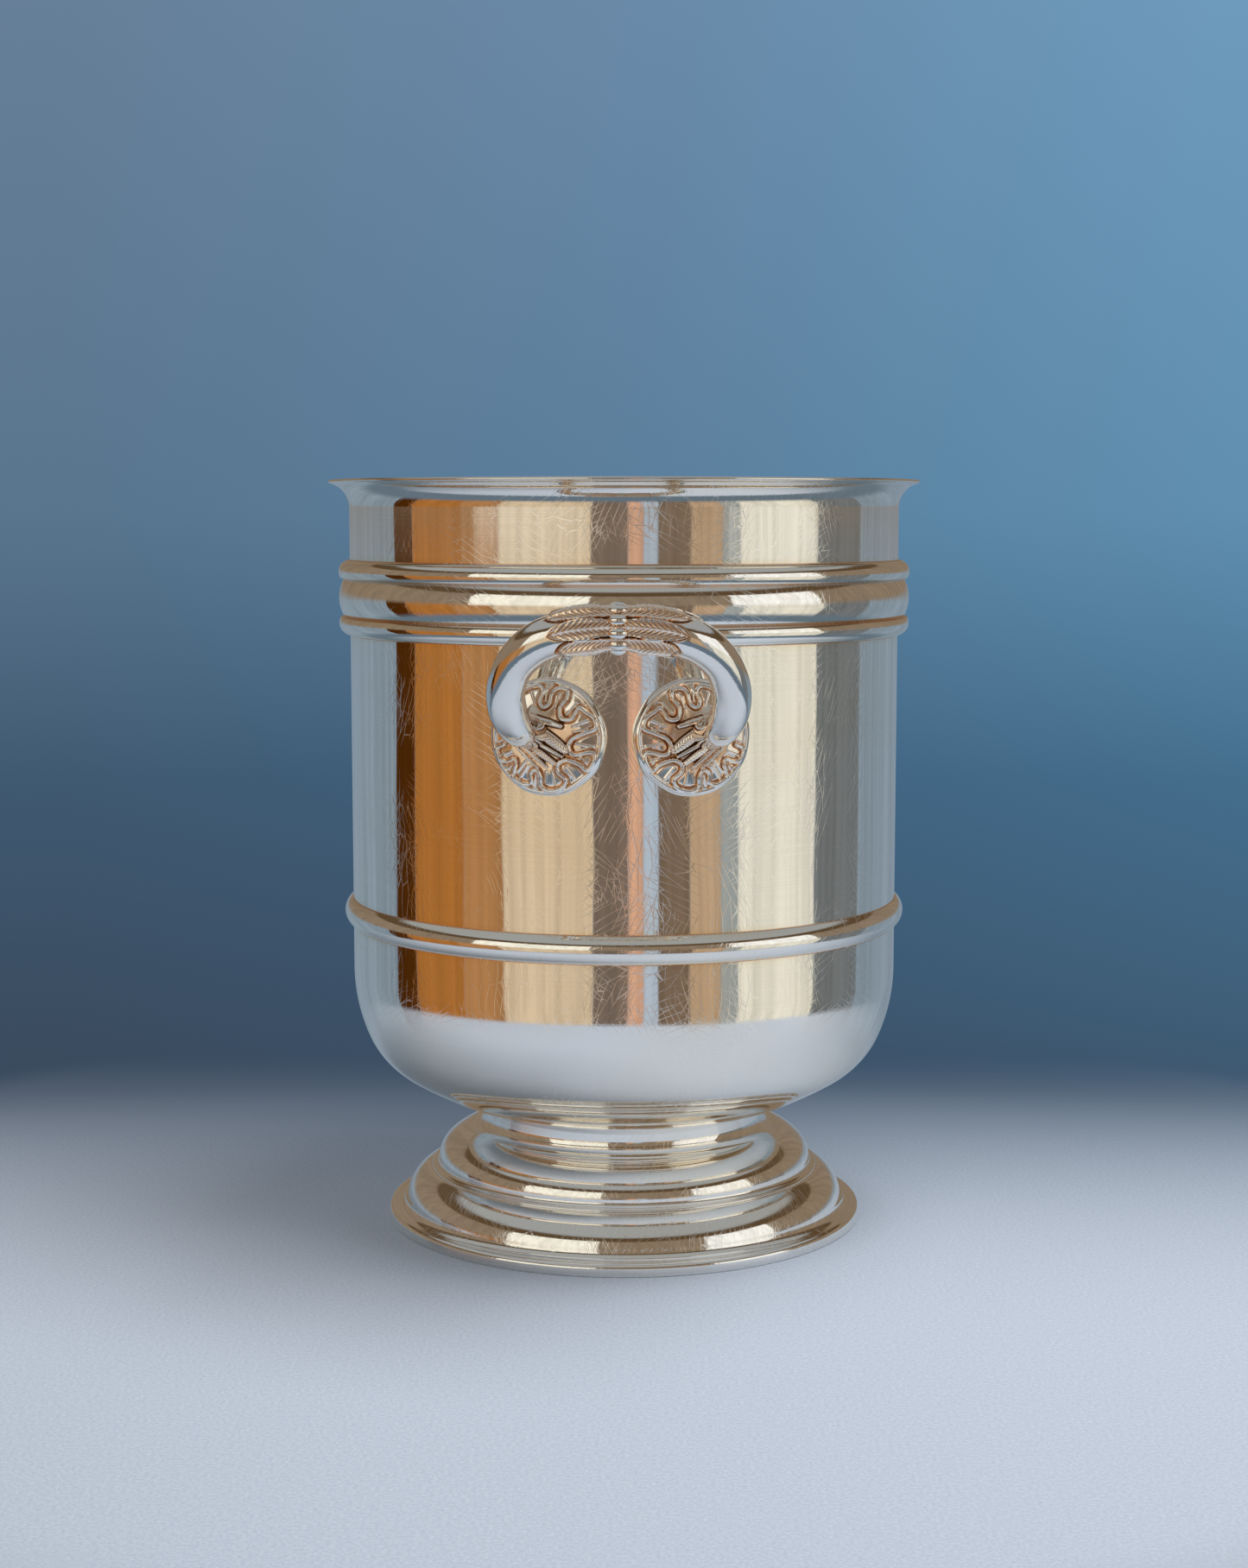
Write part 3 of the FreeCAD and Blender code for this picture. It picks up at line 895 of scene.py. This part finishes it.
def rosette_corner(round_share, along_share):
    """Place and hollow of a corner of the left rosette's surface, wrapped on the body."""
    angle = round_share * math.tau
    edge = ROSETTE * (0.988 + 0.006 * math.sin(9 * angle + 0.8) + 0.006 * math.sin(4 * angle + 2.1))
    spread = (1 - along_share) / 0.1
    if along_share <= WALL_END:
        spread = min(along_share / FACE_END, 1.0)
    radius = edge * spread
    flat = Vector((radius * math.cos(angle), radius * math.sin(angle), 0))
    dome = ROSETTE_CROWN - ROSETTE_DOME + math.sqrt(ROSETTE_DOME**2 - radius**2)
    back = math.sqrt((BODY_RADIUS - 0.5) ** 2 - flat.x**2)
    hollow = 0.0
    if along_share <= FACE_END:
        height, hollow = rosette_face(flat)
        roll = max(radius - edge + ROSETTE_ROLL, 0.0)
        swell = ROSETTE_SWELL * smooth(radius / edge, 0.86, 0.92)
        drop = ROSETTE_ROLL - math.sqrt(max(ROSETTE_ROLL**2 - roll**2, 0.0))
        out = dome + height + swell - drop
    elif along_share <= WALL_END:
        rim = dome + ROSETTE_SWELL - ROSETTE_ROLL
        out = rim + (back - rim) * (along_share - FACE_END) / WALL_ROWS
        hollow = 0.55 * (along_share - FACE_END) / WALL_ROWS
    else:
        out = back
    swing = math.radians(-ROSETTE_AZIMUTH)
    across, forward = flat.x, out
    place = Vector(
        (
            across * math.cos(swing) + forward * math.sin(swing),
            across * math.sin(swing) - forward * math.cos(swing),
            ROSETTE_HEIGHT + flat.y,
        )
    )
    return place, hollow


handle = formed("handle_front_casting", 200, 300, handle_corner, casting)
beads = bead_ring()
left_rosette = formed("rosette_left_casting", 360, 100, rosette_corner, casting)
right_rosette = copied(left_rosette, "rosette_right_casting", MIRROR)
# Every copy is made before any piece is settled, because a copy keeps what its piece stands for.
CAST_PIECES = (
    (handle, "handle_front"),
    (copied(handle, "handle_back_casting", HALF_TURN), "handle_back"),
    (beads, "bead_ring_front"),
    (copied(beads, "bead_ring_back_beads", HALF_TURN), "bead_ring_back"),
    (left_rosette, "rosette_front_left"),
    (right_rosette, "rosette_front_right"),
    (copied(left_rosette, "rosette_back_left_casting", HALF_TURN), "rosette_back_left"),
    (copied(right_rosette, "rosette_back_right_casting", HALF_TURN), "rosette_back_right"),
)
for piece, node in CAST_PIECES:
    settle(piece, node)


# ---------------------------------------------------------------- floor, light and camera


# The cloth: its radius, where its edge fades, and where it fades toward +Y into the darker backdrop, a
# painted shade of the light falling off behind the bucket.
CLOTH_RADIUS, CLOTH_EDGE, CLOTH_SHADE_FADE = 0.35, (0.3, 0.345), (-0.15, 0.25)


def floor():
    """A pale cloth whose edge fades out, and which fades toward +Y into the darker backdrop as painted
    shade.
    """
    bpy.ops.object.select_all(action="DESELECT")
    bpy.ops.mesh.primitive_circle_add(vertices=128, radius=CLOTH_RADIUS, fill_type="NGON")
    made, finish = material("pale_cloth")
    piece = begin("floor", made)
    place = finish.node("ShaderNodeTexCoord", None, None, 3)
    x, y, _ = finish.parts(place)
    reach = finish.maths("SQRT", x * x + y * y)
    grain = finish.noise(place, 900.0, 3.0, 0.7)
    cloth = finish.blend(finish.step(grain, 0.3, 0.7), paint(184, 197, 216), paint(202, 213, 231))
    pile = finish.node("ShaderNodeBump", None, {"Strength": 0.3, "Distance": 0.0004, "Height": grain})
    inputs = {"Base Color": cloth, "Roughness": 0.9, "Normal": pile, "Specular IOR Level": 0.1}
    cloth_shader = finish.node("ShaderNodeBsdfPrincipled", None, inputs)
    clear = finish.node("ShaderNodeBsdfTransparent")
    # The fade toward +Y is painted shade: the cloth gives way to the darker backdrop behind the bucket.
    shown = (1.0 - finish.step(reach, *CLOTH_EDGE)) * (1.0 - finish.step(y, *CLOTH_SHADE_FADE))
    finished(finish, finish.node("ShaderNodeMixShader", None, {0: shown, 1: clear, 2: cloth_shader}))


# Plain cards round the bucket, which its plate mirrors: from and to in degrees, where 0 is toward
# the camera and 90 toward +X, then the card's colour.
CARDS = (
    (-109, -96, (76, 44, 16)),
    (-96, -69, (172, 112, 56)),
    (-69, -51, (172, 124, 80)),
    (-51, -12, (212, 190, 160)),
    (-12, 2, (118, 104, 94)),
    (2, 8, (208, 162, 134)),
    (8, 14, (170, 184, 200)),
    (14, 27, (122, 104, 88)),
    (27, 41, (186, 158, 128)),
    (41, 48, (154, 160, 160)),
    (48, 86, (228, 224, 210)),
    (86, 114, (112, 116, 118)),
)
# Two softboxes above the cards.
SOFTBOXES = ((-63, -13, (250, 246, 230)), (43, 84, (255, 254, 250)))
CARD_EDGE = 1.0
# Elevations, in degrees, between which one part of the room gives way to the next.
TABLE_LINE, SOFTBOX_LINE, BEAM_LINE, CEILING_LINE = (-28, -18), (-4, 4), (24, 27), (34, 40)
BELOW, CARD_WALL, UPPER_WALL = (100, 116, 130), (134, 150, 164), (136, 120, 102)
BEAM, CEILING = (92, 74, 54), (158, 160, 160)

# The backdrop's colour by elevation in degrees, low to high; its dark band just above the cloth is painted
# shade behind the bucket.
BACKDROP_LOW, BACKDROP_SPAN = -30, 45
SHADED_BACKDROP = (
    (-30, (184, 194, 207)),
    (-20, (176, 186, 199)),
    (-13, (64, 80, 100)),
    (-6, (70, 98, 124)),
    (0, (96, 127, 155)),
    (11, (110, 138, 167)),
)


def hung(finish, wall, azimuth, cards):
    """The wall with the cards hung on it."""
    for low, high, chip in cards:
        inside = finish.step(azimuth, low, low + CARD_EDGE)
        inside = inside * (1.0 - finish.step(azimuth, high, high + CARD_EDGE))
        wall = finish.blend(inside, wall, paint(*chip))
    return wall


def room():
    """A blurred backdrop behind the object, with painted shade low down and to its left, and the studio
    that its metal mirrors.
    """
    world = bpy.data.worlds.new("room")
    bpy.context.scene.world = world
    finish = Finish(world)
    way = finish.node("ShaderNodeTexCoord", None, None, 0)
    x, y, z = finish.parts(way)
    azimuth = finish.maths("ARCTAN2", x, 0.0 - y) * math.degrees(1)
    height = finish.maths("ARCSINE", finish.maths("MAXIMUM", finish.maths("MINIMUM", z, 1.0), -1.0))
    height = height * math.degrees(1)

    sway = finish.noise(finish.combine(azimuth * 0.045, height * 0.07, 1.7), 1.0, 3.0, 0.6)
    azimuth = azimuth + (sway - 0.5) * 5.0
    folds = finish.noise(finish.combine(azimuth * 0.3, height * 0.03, 0.0), 1.0, 4.0, 0.6)
    folds = finish.step(folds, 0.3, 0.7, 0.84, 1.12)
    cards = hung(finish, paint(*CARD_WALL), azimuth, CARDS)
    above = hung(finish, paint(*UPPER_WALL), azimuth, SOFTBOXES)
    walls = finish.blend(finish.step(height, *SOFTBOX_LINE), cards, above)
    walls = finish.blend(1.0, walls, finish.combine(folds, folds, folds), "MULTIPLY")
    beam = finish.blend(finish.step(height, *BEAM_LINE), walls, paint(*BEAM))
    ceiling = finish.blend(finish.step(height, *CEILING_LINE), beam, paint(*CEILING))
    mirrored = finish.blend(finish.step(height, *TABLE_LINE, 1.0, 0.0), ceiling, paint(*BELOW))

    tall = []
    for degrees, chip in SHADED_BACKDROP:
        tall.append(((degrees - BACKDROP_LOW) / BACKDROP_SPAN, paint(*chip)))
    backdrop = finish.ramp((height - BACKDROP_LOW) / BACKDROP_SPAN, tall)
    # The backdrop is tinted darker to the left as painted shade, and bluer to the right.
    sides = [(0.27, (0.86, 0.82, 0.80, 1)), (0.5, (0.90, 0.98, 1.0, 1)), (0.74, (1.0, 1.28, 1.3, 1))]
    side = x * finish.step(y, 0.3, 0.9) + 0.5
    upright = finish.step(height, -18.0, -10.0)
    backdrop_with_painted_shade = finish.blend(upright, backdrop, finish.ramp(side, sides), "MULTIPLY")
    seen = finish.node("ShaderNodeLightPath", None, None, 0)
    light = finish.node("ShaderNodeBackground", None, {"Color": finish.blend(seen, mirrored, backdrop_with_painted_shade)})
    end = finish.nodes.new("ShaderNodeOutputWorld")
    finish.links.new(light.socket, end.inputs["Surface"])


def lamp(name, place, aim, size, power, colour):
    """Soft area light that lights the cloth and stays out of the mirrored room."""
    bpy.ops.object.light_add(type="AREA", location=place)
    made = bpy.context.object
    made.name = name
    made.rotation_euler = (Vector(aim) - Vector(place)).to_track_quat("-Z", "Y").to_euler()
    made.data.size = size
    made.data.energy = power
    made.data.color = colour
    made.visible_glossy = False


# The camera: distance from the bucket's axis and height in metres, swing round it and downward
# tilt in degrees, lens in millimetres.
CAMERA_REACH, CAMERA_HEIGHT = 0.8314, 0.235
CAMERA_SWING, CAMERA_TILT, CAMERA_LENS = 0.8, 6.206, 57.58


def camera():
    swing = math.radians(CAMERA_SWING)
    across, back = CAMERA_REACH * math.sin(swing), -CAMERA_REACH * math.cos(swing)
    tilt = math.radians(90 - CAMERA_TILT)
    bpy.ops.object.camera_add(location=(across, back, CAMERA_HEIGHT), rotation=(tilt, 0, swing))
    made = bpy.context.object
    made.data.lens = CAMERA_LENS
    made.data.sensor_width = 36
    made.data.clip_start = 0.05
    made.data.clip_end = 10
    bpy.context.scene.camera = made


floor()
room()
lamp("overhead_softbox", (0.28, -0.12, 1.15), (0, -0.05, 0), 0.55, 10.5, (1.0, 0.98, 0.95))
camera()
bpy.context.scene.view_settings.view_transform = "Standard"
